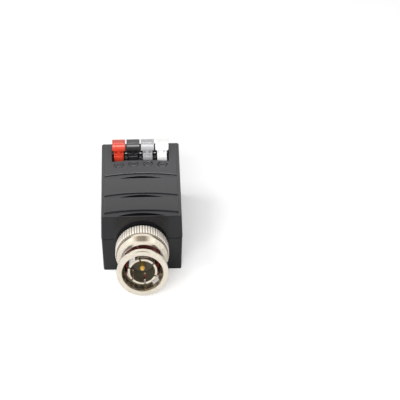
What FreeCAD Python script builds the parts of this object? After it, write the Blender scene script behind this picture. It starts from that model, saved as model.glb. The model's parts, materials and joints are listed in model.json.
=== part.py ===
import FreeCAD, Part

import math
import operator
import os
from types import SimpleNamespace

import Sketcher

# Video balun: a small black housing with a bayonet plug at the front, four push levers for
# wires on the top at the rear, and a network socket in the rear face.
# The origin is the middle of the housing's flat underside. X is across, the plug points to -Y,
# +Z is up. All sizes are in millimetres.

os.makedirs("parts", exist_ok=True)
doc = FreeCAD.newDocument("video_balun")
Vector = FreeCAD.Vector

SIZES = {
    # Housing: an upper shell on a lower tray
    "housing_length": 41.0,
    "housing_width": 22.4,
    "seam_height": 9.8,
    "lid_draft": 0.15,
    "edge_chamfer": 0.2,
    "tray_inset": 0.1,
    "tray_draft": 0.35,
    "base_chamfer": 0.2,
    "corner_round": 0.5,
    "side_wall": 1.4,
    "front_wall": 1.6,
    "rear_wall": 1.2,
    "roof": 2.4,
    "floor": 1.2,
    "lip_height": 1.0,
    "lip_wall": 0.6,
    "lip_clearance": 0.1,
    # Three raised panels on the top inside a narrow rim. Each ends in an arch at the front, with
    # a finger slot in the gap before it. Steps are placed from the front face
    "panel_rim": 0.7,
    "panel_rise": 0.33,
    "panel_edge": 0.3,
    "step_radius": 40.0,
    "step_front_radius": 130.0,
    "first_step": 23.3,
    "first_step_front": 20.85,
    "second_step": 12.33,
    "second_step_front": 10.3,
    "third_step": 2.94,
    "third_step_front": 0.5,
    "slot_half_width": 6.6,
    "slot_rise": 1.43,
    "slot_depth": 1.1,
    # Lever bay, open at the top and the rear
    "bay_wall": 3.1,
    "bay_length": 10.1,
    # Circuit board
    "board_lift": 0.3,
    "rail_width": 1.0,
    "rail_inset": 2.0,
    "board_thickness": 1.0,
    "board_side_gap": 0.35,
    "board_front_gap": 1.9,
    "board_rear_gap": 0.3,
    # Network socket
    "socket_side_gap": 0.3,
    "socket_base": 0.9,
    "socket_depth": 13.6,
    "port_width": 11.8,
    "port_height": 6.6,
    "port_depth": 11.5,
    "port_roof": 1.0,
    "latch_width": 6.4,
    "latch_height": 1.5,
    "key_width": 3.8,
    "key_height": 1.0,
    "contact_pitch": 1.02,
    "contact_width": 0.46,
    "contact_thickness": 0.3,
    "contact_drop": 2.05,
    "contact_groove_width": 0.66,
    "contact_groove_depth": 0.5,
    "contact_front_wall": 1.9,
    "contact_root": 0.7,
    # Terminal block under the levers
    "block_clearance": 0.05,
    "block_height": 3.4,
    "block_set_back": 1.5,
    "block_wall": 0.5,
    "block_gap": 0.1,
    "lane_clearance": 0.2,
    "lane_floor": 0.8,
    "block_top_drop": 0.3,
    "rib_front_drop": 0.6,
    "rib_step": 0.55,
    "entry_length": 3.7,
    "entry_inset": 0.35,
    "entry_height": 1.9,
    "entry_floor": 0.75,
    "entry_flare": 0.3,
    # Lever axle
    "axle_from_rear": 5.1,
    "axle_below_top": 0.5,
    "axle_radius": 0.45,
    "axle_clearance": 0.05,
    # Levers, measured from the axle
    "lever_gap": 0.4,
    "lever_side_gap": 0.07,
    "shank_inset": 0.48,
    "pad_reach": 3.5,
    "pad_rear_top": 2.95,
    "pad_front_top": 3.15,
    "pad_thickness": 1.0,
    "pad_edge": 0.15,
    "crease_place": 0.9,
    "crease_depth": 0.14,
    "crease_width": 0.2,
    "bulge_radius": 1.45,
    "bulge_centre": 0.35,
    "bulge_height": 1.7,
    "neck_height": 1.6,
    "waist_front": 1.0,
    "ledge_front": 2.15,
    "ledge_height": 0.35,
    "leg_bottom": 1.4,
    "leg_thickness": 0.9,
    "hub_radius": 0.95,
    "window_width": 0.45,
    "window_bottom": 0.62,
    "window_top": 1.45,
    "window_depth": 0.6,
    "window_spacing": 1.35,
    # Wire clamp springs
    "spring_strip": 0.25,
    "spring_side_gap": 0.6,
    "spring_foot": 2.6,
    "spring_reach": 2.3,
    "spring_rise": 1.3,
    # Plug, turned about its own axis
    "floor_gap": 0.3,
    "bush_clearance": 0.1,
    "neck_step": 0.4,
    "inner_flange_step": 1.4,
    "inner_flange_thickness": 1.2,
    "tail_wall": 0.55,
    "tail_length": 4.7,
    "collar_clearance": 0.3,
    "collar_thickness": 1.2,
    "seat_clearance": 0.3,
    "seat_length": 1.8,
    "sleeve_radius": 4.1,
    "sleeve_wall": 0.75,
    "sleeve_recess": 0.9,
    "sleeve_slot_width": 0.5,
    "sleeve_slot_length": 5.0,
    "sleeve_slot_angle": 39.5,
    "insulator_clearance": 0.03,
    "insulator_depth": 5.4,
    "insulator_tail": 0.5,
    "pin_radius": 0.675,
    "pin_shoulder": 0.175,
    "pin_recess": 0.95,
    "pin_tip_length": 0.9,
    "pin_tip_radius": 0.2,
    "solder_cup_radius": 1.0,
    "solder_cup_length": 2.0,
    "gasket_length": 2.1,
    # Coupling nut, its thrust washer and wave spring
    "nut_gap": 0.75,
    "nut_length": 13.8,
    "nut_lip": 1.2,
    "nut_bore_gap": 0.8,
    "nut_chamber_step": 0.9,
    "nut_chamber_room": 1.45,
    "knurl_depth": 0.33,
    "knurl_step": 0.03,
    "knurl_length": 4.3,
    "knurl_chamfer": 0.3,
    "knurl_count": 60,
    "shoulder_height": 0.89,
    "shoulder_length": 1.3,
    "slope_length": 2.2,
    "slope_knee_length": 1.0,
    "slope_knee_height": 0.23,
    "waist_wall": 0.45,
    "ring_length": 1.5,
    "ring_height": 0.95,
    "ring_chamfer": 0.3,
    "mouth_flare": 0.88,
    "mouth_depth": 2.2,
    "keyway_width": 2.3,
    "keyway_depth": 0.75,
    "bayonet_width": 2.2,
    "bayonet_entry": 3.5,
    "bayonet_lock": 4.5,
    "bayonet_detent": 0.3,
    "bayonet_entry_angle": 135.0,
    "bayonet_lock_angle": 40.0,
    "washer_play": 0.05,
    "washer_clearance": 0.08,
    "washer_side_gap": 0.2,
    "washer_thickness": 0.4,
    "spring_play": 0.05,
    "wave_thickness": 0.3,
    "wave_count": 3,
    "wave_height": 1.6,
    "wave_inner_gap": 0.15,
    "wave_outer_gap": 0.4,
    "wave_steps": 48,
    # Parts on the board, along its sides and one behind the other from the plug's tail
    "part_margin": 0.9,
    "tail_gap": 1.2,
    "core_gap": 0.1,
    "fuse_gap": 0.5,
    "can_gap": 3.3,
    "core_radius": 3.2,
    "core_bore_radius": 1.5,
    "core_height": 2.6,
    "turn_wire": 0.35,
    "turn_clearance": 0.03,
    "turn_count": 10,
    "arrester_radius": 2.5,
    "arrester_length": 5.0,
    "can_radius": 2.5,
    "can_height": 7.0,
    "can_edge": 0.3,
    "fuse_radius": 2.7,
    "fuse_thickness": 2.0,
    "lead_width": 1.0,
    "lead_thickness": 0.5,
    "lead_bend": 2.0,
    "lead_run": 0.6,
    "ground_post_radius": 0.6,
    "ground_post_from_flange": 2.0,
}

sheet = doc.addObject("Spreadsheet::Sheet", "sizes")
for row, (alias, number) in enumerate(SIZES.items(), 1):
    sheet.set(f"A{row}", alias.replace("_", " "))
    sheet.set(f"B{row}", str(number))
    sheet.setAlias(f"B{row}", alias)
doc.recompute()


class Size:
    """A length of the sheet, or a sum of lengths, with the formula that ties it to the sheet."""

    def __init__(self, value, formula):
        self.value = value
        self.formula = formula

    def __add__(self, other):
        return joined(operator.add, "+", self, other)

    def __radd__(self, other):
        return joined(operator.add, "+", other, self)

    def __sub__(self, other):
        return joined(operator.sub, "-", self, other)

    def __rsub__(self, other):
        return joined(operator.sub, "-", other, self)

    def __mul__(self, other):
        return joined(operator.mul, "*", self, other)

    def __rmul__(self, other):
        return joined(operator.mul, "*", other, self)

    def __truediv__(self, other):
        return joined(operator.truediv, "/", self, other)

    def __neg__(self):
        return joined(operator.sub, "-", 0.0, self)


def as_size(thing):
    return thing if isinstance(thing, Size) else Size(float(thing), f"({float(thing)})")


def joined(action, sign, first, second):
    first, second = as_size(first), as_size(second)
    return Size(action(first.value, second.value), f"({first.formula} {sign} {second.formula})")


def root(size):
    return Size(math.sqrt(size.value), f"sqrt({size.formula})")


s = SimpleNamespace(**{alias: Size(sheet.get(alias), f"sizes.{alias}") for alias in SIZES})


# Working functions

def bind(thing, prop, size):
    """Ties a property to the sheet."""
    thing.setExpression(prop, as_size(size).formula)


def new_body(label):
    body = doc.addObject("PartDesign::Body", label)
    body.Label = label
    return body


def origin_feature(body, role):
    return next(item for item in body.Origin.OriginFeatures if item.Role == role)


def sketch(body, name, plane, offset=0.0):
    """Empty sketch on one of the body's origin planes, moved along that plane's normal."""
    new = body.newObject("Sketcher::SketchObject", name)
    new.AttachmentSupport = [(origin_feature(body, plane + "_Plane"), "")]
    new.MapMode = "FlatFace"
    bind(new, "AttachmentOffset.Base.z", offset)
    return new


def tie(drawing, kind, geometry, end, size):
    """Ties the distance of an end from the sketch's origin to the sheet."""
    size = as_size(size)
    number = drawing.addConstraint(Sketcher.Constraint(kind, -1, 1, geometry, end, size.value))
    drawing.setExpression(f"Constraints[{number}]", size.formula)


def outline(drawing, corners):
    """Closed outline; a corner with a third value starts an arc of that radius, which is
    positive where the arc turns left and negative where it turns right."""
    first = drawing.GeometryCount
    count = len(corners)
    for index, corner in enumerate(corners):
        following = corners[(index + 1) % count]
        start = Vector(as_size(corner[0]).value, as_size(corner[1]).value, 0)
        end = Vector(as_size(following[0]).value, as_size(following[1]).value, 0)
        if len(corner) == 2:
            drawing.addGeometry(Part.LineSegment(start, end), False)
            continue
        radius = as_size(corner[2]).value
        half_chord = (end - start) / 2
        side = Vector(-half_chord.y, half_chord.x, 0).normalize() * math.copysign(1.0, radius)
        rise = abs(radius) - math.sqrt(max(radius ** 2 - half_chord.Length ** 2, 0.0))
        middle = start + half_chord - side * rise
        drawing.addGeometry(Part.Arc(start, middle, end), False)
    for index, corner in enumerate(corners):
        here = first + index
        following = first + (index + 1) % count
        straight = len(corner) == 2
        turns_left = not straight and as_size(corner[2]).value > 0
        start_end, far_end = (1, 2) if straight or turns_left else (2, 1)
        next_corner = corners[(index + 1) % count]
        next_starts_at = 2 if len(next_corner) == 3 and as_size(next_corner[2]).value < 0 else 1
        drawing.addConstraint(
            Sketcher.Constraint("Coincident", here, far_end, following, next_starts_at))
        tie(drawing, "DistanceX", here, start_end, corner[0])
        tie(drawing, "DistanceY", here, start_end, corner[1])
        if not straight:
            radius = as_size(corner[2])
            radius = radius if radius.value > 0 else -radius
            number = drawing.addConstraint(Sketcher.Constraint("Radius", here, radius.value))
            drawing.setExpression(f"Constraints[{number}]", radius.formula)


def rectangle(left, right, low, high):
    return [(left, low), (right, low), (right, high), (left, high)]


def circle(drawing, across, up, radius):
    across, up, radius = as_size(across), as_size(up), as_size(radius)
    ring = Part.Circle(Vector(across.value, up.value, 0), Vector(0, 0, 1), radius.value)
    geometry = drawing.addGeometry(ring, False)
    tie(drawing, "DistanceX", geometry, 3, across)
    tie(drawing, "DistanceY", geometry, 3, up)
    number = drawing.addConstraint(Sketcher.Constraint("Radius", geometry, radius.value))
    drawing.setExpression(f"Constraints[{number}]", radius.formula)


def span(plane, low, high):
    """Start along the plane's normal and length. The XZ plane's normal points to -Y."""
    return (-as_size(high) if plane == "XZ" else low), as_size(high) - low


def prism(body, name, kind, plane, low, high, loops=(), rings=()):
    """Pad or pocket of outlines and circles between two places on the axis across the plane."""
    start, length = span(plane, low, high)
    drawing = sketch(body, name + "_sketch", plane, start)
    for loop in loops:
        outline(drawing, loop)
    for ring in rings:
        circle(drawing, *ring)
    before = body.Shape.Volume if kind == "Pocket" else 0.0
    feature = body.newObject("PartDesign::" + kind, name)
    feature.Profile = drawing
    bind(feature, "Length", length)
    feature.Reversed = kind == "Pocket"
    doc.recompute()
    if kind == "Pocket" and body.Shape.Volume > before - 1e-6:
        raise RuntimeError(f"{body.Label}: {name} cuts nothing")
    return feature


def pad(body, name, plane, low, high, loops=(), rings=()):
    return prism(body, name, "Pad", plane, low, high, loops, rings)


def pocket(body, name, plane, low, high, loops=(), rings=()):
    return prism(body, name, "Pocket", plane, low, high, loops, rings)


def turned(body, name, corners, kind="Revolution"):
    """Turns an outline of radius and height about the body's Z axis."""
    drawing = sketch(body, name + "_sketch", "XZ")
    outline(drawing, corners)
    feature = body.newObject("PartDesign::" + kind, name)
    feature.Profile = drawing
    feature.ReferenceAxis = (drawing, ["V_Axis"])
    feature.Angle = 360.0
    doc.recompute()
    return feature


def around(body, name, feature, count):
    """Repeats a feature round the body's Z axis."""
    pattern = body.newObject("PartDesign::PolarPattern", name)
    pattern.Originals = [feature]
    pattern.Axis = (origin_feature(body, "Z_Axis"), [""])
    pattern.Angle = 360.0
    pattern.Occurrences = count
    body.Tip = pattern
    doc.recompute()
    return pattern


def along_x(body, name, feature, count, pitch):
    """Repeats a feature along X."""
    pattern = body.newObject("PartDesign::LinearPattern", name)
    pattern.Originals = [feature]
    pattern.Direction = (origin_feature(body, "X_Axis"), [""])
    pattern.Occurrences = count
    bind(pattern, "Length", pitch * (count - 1))
    body.Tip = pattern
    doc.recompute()
    return pattern


def dressed(body, name, kind, prop, size, wanted):
    """Fillet or chamfer on the edges that pass the test."""
    base = body.Tip
    names = [f"Edge{number}" for number, edge in enumerate(base.Shape.Edges, 1) if wanted(edge)]
    if not names:
        raise RuntimeError(f"{body.Label}: {name} finds no edge")
    feature = body.newObject("PartDesign::" + kind, name)
    feature.Base = (base, names)
    bind(feature, prop, size)
    doc.recompute()
    return feature


def rounded(body, name, radius, wanted):
    return dressed(body, name, "Fillet", "Radius", radius, wanted)


def chamfered(body, name, size, wanted):
    return dressed(body, name, "Chamfer", "Size", size, wanted)


def place(thing, across=0.0, along=0.0, up=0.0):
    bind(thing, "Placement.Base.x", across)
    bind(thing, "Placement.Base.y", along)
    bind(thing, "Placement.Base.z", up)


def place_on_plug_axis(thing):
    """Lays a turned piece on the plug's axis: its height runs forward from the front face."""
    thing.Placement.Rotation = FreeCAD.Rotation(Vector(1, 0, 0), 90)
    place(thing, 0.0, front, plug_axis_height)


# Places shared by several pieces

front = -s.housing_length / 2
rear = s.housing_length / 2
inner_front = front + s.front_wall
inner_rear = rear - s.rear_wall
seam_half = s.housing_width / 2
lid_top_half = seam_half - s.lid_draft
tray_top_half = seam_half - s.tray_inset
base_half = tray_top_half - s.tray_draft
lid_inner_half = seam_half - s.side_wall
tray_inner_half = base_half - s.side_wall
bay_half = seam_half - s.bay_wall
bay_front = rear - s.bay_length
board_half = tray_inner_half - s.board_side_gap
board_bottom = s.floor + s.board_lift
board_top = board_bottom + s.board_thickness
key_bottom = board_top + s.socket_base
latch_bottom = key_bottom + s.key_height
port_bottom = latch_bottom + s.latch_height
port_top = port_bottom + s.port_height
socket_top = port_top + s.port_roof
block_bottom = socket_top + s.block_gap
housing_height = block_bottom + s.block_height
axle_y = rear - s.axle_from_rear
axle_z = housing_height - s.axle_below_top
lever_width = (bay_half - s.lever_side_gap) / 2 - s.lever_gap * 0.75
lever_pitch = lever_width + s.lever_gap
lever_places = [(index - 1.5) * lever_pitch for index in range(4)]
shank_width = lever_width - 2 * s.shank_inset
lane_width = shank_width + 2 * s.lane_clearance

# Radii of the plug and its nut, from the outer contact outwards

sleeve_bore_radius = s.sleeve_radius - s.sleeve_wall
neck_radius = s.sleeve_radius + s.neck_step
plug_hole_radius = neck_radius + s.bush_clearance
nut_bore_radius = s.sleeve_radius + s.nut_bore_gap
chamber_radius = nut_bore_radius + s.nut_chamber_step
seat_radius = nut_bore_radius - s.seat_clearance
keyway_radius = nut_bore_radius + s.keyway_depth
waist_radius = keyway_radius + s.waist_wall
shoulder_radius = waist_radius + s.shoulder_height
knurl_valley = shoulder_radius + s.knurl_step
knurl_radius = knurl_valley + s.knurl_depth
ring_radius = waist_radius + s.ring_height
plug_axis_height = knurl_radius + s.floor_gap


def arch_drop(radius, half_width):
    """How far an arch across the top falls back from its middle at a given distance."""
    return radius - root(radius * radius - half_width * half_width)


# Upper shell: drafted sides, three raised panels with sloping edges, open bay behind

housing_top = new_body("housing_top")
top_half = lid_top_half - s.edge_chamfer
shoulder = housing_height - s.edge_chamfer
pad(housing_top, "shell", "XZ", front, rear, [[
    (-seam_half, s.seam_height),
    (seam_half, s.seam_height),
    (lid_top_half, shoulder),
    (top_half, housing_height),
    (-top_half, housing_height),
    (-lid_top_half, shoulder),
]])
rounded(housing_top, "corners", s.corner_round, lambda edge: (
    abs(edge.BoundBox.YLength) < 1e-6
    and edge.BoundBox.ZLength > s.edge_chamfer.value / 2
    and abs(edge.BoundBox.Center.x) > top_half.value))
panel_half = lid_top_half - s.panel_rim
panel_top = housing_height + s.panel_rise
panel_rear = rear - s.panel_rim


def arch_ends(centre, radius, half_width):
    """Where an arch across the top ends, from the place of its middle in front."""
    return front + centre - arch_drop(radius, half_width)


pad(housing_top, "panels", "XY", housing_height, panel_top, [
    [
        (-panel_half, arch_ends(s.first_step, s.step_radius, panel_half), -s.step_radius),
        (panel_half, arch_ends(s.first_step, s.step_radius, panel_half)),
        (panel_half, panel_rear),
        (-panel_half, panel_rear),
    ],
    *[[
        (-panel_half, arch_ends(arch, s.step_radius, panel_half), -s.step_radius),
        (panel_half, arch_ends(arch, s.step_radius, panel_half)),
        (panel_half, arch_ends(behind, s.step_front_radius, panel_half), s.step_front_radius),
        (-panel_half, arch_ends(behind, s.step_front_radius, panel_half)),
    ] for arch, behind in (
        (s.second_step, s.first_step_front),
        (s.third_step, s.second_step_front),
    )],
])
chamfered(housing_top, "panel_edges", s.panel_edge,
          lambda edge: edge.BoundBox.ZMin > panel_top.value - 1e-6)
pocket(housing_top, "hollow", "XY", s.seam_height, housing_height - s.roof,
       [rectangle(-lid_inner_half, lid_inner_half, inner_front, inner_rear)])
slot_places = (s.first_step_front, s.second_step_front, s.third_step_front)
for number, straight in enumerate(slot_places, 1):
    slot_end = arch_ends(straight, s.step_front_radius, s.slot_half_width)
    rise = s.slot_rise + arch_drop(s.step_front_radius, s.slot_half_width)
    slot_radius = (s.slot_half_width * s.slot_half_width + rise * rise) / (2 * rise)
    pocket(housing_top, f"slot_{number}", "XY",
           housing_height - s.slot_depth, housing_height, [[
               (-s.slot_half_width, slot_end, -s.step_front_radius),
               (s.slot_half_width, slot_end, slot_radius),
           ]])
bay_front_end = bay_front - arch_drop(s.step_radius, bay_half)
pocket(housing_top, "bay", "XY", s.seam_height, housing_height + 1, [[
    (-bay_half, rear + 1),
    (-bay_half, bay_front_end, -s.step_radius),
    (bay_half, bay_front_end),
    (bay_half, rear + 1),
]])
tongue_half = plug_hole_radius - s.lip_clearance
pad(housing_top, "tongue", "XZ", front, inner_front,
    [rectangle(-tongue_half, tongue_half, plug_axis_height, s.seam_height)])
pocket(housing_top, "plug_hole", "XZ", front - 1, inner_front + 1, [],
       [(0, plug_axis_height, plug_hole_radius)])

# Lower tray: a slot that opens upwards takes the plug, rails carry the board

housing_bottom = new_body("housing_bottom")
pad(housing_bottom, "tray", "XZ", front, rear, [[
    (-base_half + s.base_chamfer, 0),
    (base_half - s.base_chamfer, 0),
    (base_half, s.base_chamfer),
    (tray_top_half, s.seam_height),
    (-tray_top_half, s.seam_height),
    (-base_half, s.base_chamfer),
]])
rounded(housing_bottom, "corners", s.corner_round, lambda edge: (
    abs(edge.BoundBox.YLength) < 1e-6
    and edge.BoundBox.ZLength > s.seam_height.value / 2))
pocket(housing_bottom, "hollow", "XY", s.floor, s.seam_height,
       [rectangle(-tray_inner_half, tray_inner_half, inner_front, inner_rear)])
pocket(housing_bottom, "socket_opening", "XZ", inner_rear - 1, rear + 1,
       [rectangle(-bay_half, bay_half, board_top, s.seam_height + 1)])
pocket(housing_bottom, "plug_slot", "XZ", front - 1, inner_front + 1, [[
    (plug_hole_radius, s.seam_height + 1),
    (-plug_hole_radius, s.seam_height + 1),
    (-plug_hole_radius, plug_axis_height, plug_hole_radius),
    (0, plug_axis_height - plug_hole_radius, plug_hole_radius),
    (plug_hole_radius, plug_axis_height),
]])
board_front = inner_front + s.board_front_gap
board_rear = inner_rear - s.board_rear_gap
rail_place = board_half - s.rail_inset
pad(housing_bottom, "rails", "XY", s.floor, board_bottom, [
    rectangle(side * rail_place - s.rail_width / 2, side * rail_place + s.rail_width / 2,
              board_front, board_rear)
    for side in (-1, 1)])
lip_outer = lid_inner_half - s.lip_clearance
pad(housing_bottom, "lips", "XY", s.seam_height, s.seam_height + s.lip_height, [
    rectangle(lip_outer - s.lip_wall, lip_outer,
              inner_front + s.lip_clearance, inner_rear - s.lip_clearance),
    rectangle(-lip_outer, -lip_outer + s.lip_wall,
              inner_front + s.lip_clearance, inner_rear - s.lip_clearance),
])

# Circuit board on the rails

circuit_board = new_body("circuit_board")
pad(circuit_board, "board", "XY", board_bottom, board_top,
    [rectangle(-board_half, board_half, board_front, board_rear)])

# Network socket: a moulded block with a stepped port in the rear face

network_socket = new_body("network_socket")
socket_half = bay_half - s.socket_side_gap
pad(network_socket, "block", "XZ", rear - s.socket_depth, rear,
    [rectangle(-socket_half, socket_half, board_top, socket_top)])
port_back = rear - s.port_depth
pocket(network_socket, "port", "XZ", port_back, rear + 1, [[
    (-s.port_width / 2, port_top),
    (-s.port_width / 2, port_bottom),
    (-s.latch_width / 2, port_bottom),
    (-s.latch_width / 2, latch_bottom),
    (-s.key_width / 2, latch_bottom),
    (-s.key_width / 2, key_bottom),
    (s.key_width / 2, key_bottom),
    (s.key_width / 2, latch_bottom),
    (s.latch_width / 2, latch_bottom),
    (s.latch_width / 2, port_bottom),
    (s.port_width / 2, port_bottom),
    (s.port_width / 2, port_top),
]])
CONTACTS = 8
contact_first = -s.contact_pitch * (CONTACTS - 1) / 2
groove = pocket(network_socket, "contact_groove", "XZ",
                port_back - s.contact_root, rear - s.contact_front_wall,
                [rectangle(contact_first - s.contact_groove_width / 2,
                           contact_first + s.contact_groove_width / 2,
                           port_top - s.contact_thickness, port_top + s.contact_groove_depth)])
along_x(network_socket, "contact_grooves", groove, CONTACTS, s.contact_pitch)

# Spring contacts of the socket: each runs forward in its groove and folds back down

contact_top = port_top + s.contact_groove_depth - s.block_gap
contact_bend = rear - s.contact_front_wall - s.lip_clearance
contact_tip = port_back + s.port_roof
contact_slope = s.contact_drop / (contact_bend - contact_tip)
fold_start = contact_bend - s.contact_thickness / contact_slope
for index in range(CONTACTS):
    contact = new_body(f"socket_contact_{index + 1}")
    pad(contact, "wire", "YZ", -s.contact_width / 2, s.contact_width / 2, [[
        (port_back - s.contact_root + s.lip_clearance, contact_top),
        (port_back - s.contact_root + s.lip_clearance, contact_top - s.contact_thickness),
        (fold_start, contact_top - s.contact_thickness),
        (contact_tip, contact_top - s.contact_drop),
        (contact_tip, contact_top - s.contact_thickness - s.contact_drop),
        (contact_bend, contact_top - s.contact_thickness),
        (contact_bend, contact_top),
    ]])
    place(contact, contact_first + index * s.contact_pitch)

# Terminal block: four lanes between ribs, wire entries in the rear face, slots for the axle

terminal_block = new_body("terminal_block")
block_half = bay_half - s.block_clearance
block_front = bay_front + s.block_set_back
lane_front = block_front + s.block_wall
lane_rear = rear - s.entry_length
lane_bottom = block_bottom + s.lane_floor
lanes = [(x - lane_width / 2, x + lane_width / 2) for x in lever_places]
pad(terminal_block, "block", "XY", block_bottom, housing_height,
    [rectangle(-block_half, block_half, block_front, rear)])
pocket(terminal_block, "lanes", "XY", lane_bottom, housing_height + 1,
       [rectangle(left, right, lane_front, lane_rear) for left, right in lanes])
pocket(terminal_block, "lane_tops", "XY",
       housing_height - s.block_top_drop, housing_height + 1,
       [rectangle(left, right, lane_rear, rear + 1) for left, right in lanes])
pocket(terminal_block, "rib_fronts", "XY",
       housing_height - s.rib_front_drop, housing_height + 1,
       [rectangle(-block_half - 1, block_half + 1, block_front - 1, axle_y + s.rib_step)])
axle_slot = s.axle_radius + s.axle_clearance
pocket(terminal_block, "axle_slot", "YZ", -block_half, block_half, [[
    (axle_y - axle_slot, housing_height + 1),
    (axle_y - axle_slot, axle_z, axle_slot),
    (axle_y, axle_z - axle_slot, axle_slot),
    (axle_y + axle_slot, axle_z),
    (axle_y + axle_slot, housing_height + 1),
]])
entry_bottom = block_bottom + s.entry_floor
entry_half = lane_width / 2 - s.entry_inset
mouth_half = entry_half + s.entry_flare
pocket(terminal_block, "wire_entries", "XZ", lane_rear - 1, rear + 1, [
    rectangle(x - entry_half, x + entry_half, entry_bottom, entry_bottom + s.entry_height)
    for x in lever_places])
pocket(terminal_block, "entry_mouths", "XZ", rear - s.entry_flare, rear + 1, [
    rectangle(x - mouth_half, x + mouth_half,
              entry_bottom - s.entry_flare, entry_bottom + s.entry_height + s.entry_flare)
    for x in lever_places])

# Steel axle snapped into the ribs

lever_axle = doc.addObject("Part::Cylinder", "lever_axle")
lever_axle.Label = "lever_axle"
bind(lever_axle, "Radius", s.axle_radius)
bind(lever_axle, "Height", 2 * block_half)
lever_axle.Placement.Rotation = FreeCAD.Rotation(Vector(0, 1, 0), 90)
place(lever_axle, -block_half, axle_y, axle_z)

# Push levers: a finger pad and a round bulge on a narrow shank that turns on the axle

LEVERS = ("red", "black", "grey", "white")
for colour, across in zip(LEVERS, lever_places):
    lever = new_body(f"lever_{colour}")
    bulge_front = s.bulge_centre - s.bulge_radius
    bulge_start = s.crease_place - s.crease_width
    bulge_reach = bulge_start - s.bulge_centre
    bulge_top = s.bulge_height + root(s.bulge_radius * s.bulge_radius - bulge_reach * bulge_reach)
    pad(lever, "pad", "YZ", -lever_width / 2, lever_width / 2, [[
        (s.pad_reach, s.pad_rear_top - s.pad_thickness),
        (s.pad_reach, s.pad_rear_top - s.pad_edge),
        (s.pad_reach - s.pad_edge, s.pad_rear_top),
        (s.crease_place, s.pad_front_top),
        (bulge_start, bulge_top - s.crease_depth),
        (bulge_start, bulge_top, s.bulge_radius),
        (bulge_front, s.bulge_height),
        (bulge_front, s.neck_height),
        (s.hub_radius, s.neck_height),
        (s.hub_radius + s.bulge_height - s.neck_height, s.pad_rear_top - s.pad_thickness),
    ]])
    pad(lever, "shank", "YZ", -shank_width / 2, shank_width / 2, [[
        (s.hub_radius, s.neck_height + s.pad_edge),
        (-s.waist_front, s.neck_height + s.pad_edge),
        (-s.waist_front, s.ledge_height),
        (-s.ledge_front, s.ledge_height),
        (-s.ledge_front, -s.leg_bottom),
        (s.leg_thickness - s.ledge_front, -s.leg_bottom),
        (s.leg_thickness - s.ledge_front, -s.hub_radius),
        (0, -s.hub_radius, s.hub_radius),
        (s.hub_radius, 0),
    ]])
    pocket(lever, "axle_bore", "YZ", -lever_width, lever_width, [],
           [(0, 0, s.axle_radius + s.axle_clearance)])
    pocket(lever, "windows", "XZ", -s.waist_front - 1, s.window_depth - s.waist_front, [
        rectangle(side * s.window_spacing / 2 - s.window_width / 2,
                  side * s.window_spacing / 2 + s.window_width / 2,
                  s.window_bottom, s.window_top) for side in (-1, 1)])
    place(lever, across, axle_y, axle_z)

# Wire clamp springs: a foot on the floor of each lane and a leg that rises into the entry

spring_start = lane_front + s.block_gap
spring_corner = spring_start + s.spring_foot
spring_half = lane_width / 2 - s.spring_side_gap
for index, across in enumerate(lever_places, 1):
    clamp = new_body(f"clamp_spring_{index}")
    pad(clamp, "strip", "YZ", -spring_half, spring_half, [[
        (spring_start, lane_bottom),
        (spring_corner, lane_bottom),
        (spring_corner + s.spring_reach, lane_bottom + s.spring_rise),
        (spring_corner + s.spring_reach, lane_bottom + s.spring_rise + s.spring_strip),
        (spring_corner - s.spring_strip, lane_bottom + s.spring_strip),
        (spring_start, lane_bottom + s.spring_strip),
    ]])
    place(clamp, across)

# Plug body, one turned piece: tail, flange behind the wall, collar, gasket seat and the
# slotted outer contact

nut_rear = s.nut_gap
nut_front = nut_rear + s.nut_length
collar_rear = nut_rear + s.nut_lip + s.washer_play + s.washer_thickness + s.spring_play \
    + s.wave_height + s.spring_play
collar_front = collar_rear + s.collar_thickness
seat_front = collar_front + s.seat_length
sleeve_front = nut_front - s.sleeve_recess
flange_rear = -s.front_wall - s.inner_flange_thickness
tail_end = flange_rear - s.tail_length
tail_radius = sleeve_bore_radius + s.tail_wall
inner_flange_radius = plug_hole_radius + s.inner_flange_step
collar_radius = chamber_radius - s.collar_clearance
plug_body = new_body("plug_body")
turned(plug_body, "turning", [
    (sleeve_bore_radius, tail_end),
    (tail_radius, tail_end),
    (tail_radius, flange_rear),
    (inner_flange_radius, flange_rear),
    (inner_flange_radius, -s.front_wall),
    (neck_radius, -s.front_wall),
    (neck_radius, collar_rear),
    (collar_radius, collar_rear),
    (collar_radius, collar_front),
    (seat_radius, collar_front),
    (seat_radius, seat_front),
    (s.sleeve_radius, seat_front),
    (s.sleeve_radius, sleeve_front),
    (sleeve_bore_radius, sleeve_front),
])
sleeve_slot = pocket(plug_body, "sleeve_slot", "XY", sleeve_front - s.sleeve_slot_length,
                     sleeve_front + 1, [rectangle(0, neck_radius, -s.sleeve_slot_width / 2,
                                                  s.sleeve_slot_width / 2)])
sleeve_sketch = doc.getObject("sleeve_slot_sketch")
bind(sleeve_sketch, "AttachmentOffset.Rotation.Angle", s.sleeve_slot_angle)
sleeve_sketch.AttachmentOffset.Rotation.Axis = Vector(0, 0, 1)
around(plug_body, "sleeve_slots", sleeve_slot, 6)
place_on_plug_axis(plug_body)

insulator_front = sleeve_front - s.insulator_depth
insulator_rear = tail_end - s.insulator_tail
pin_front = sleeve_front - s.pin_recess
plug_insulator = new_body("plug_insulator")
pin_body_radius = s.pin_radius + s.pin_shoulder
turned(plug_insulator, "turning", [
    (pin_body_radius + s.insulator_clearance, insulator_rear),
    (sleeve_bore_radius - s.insulator_clearance, insulator_rear),
    (sleeve_bore_radius - s.insulator_clearance, insulator_front),
    (pin_body_radius + s.insulator_clearance, insulator_front),
])
place_on_plug_axis(plug_insulator)

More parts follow.
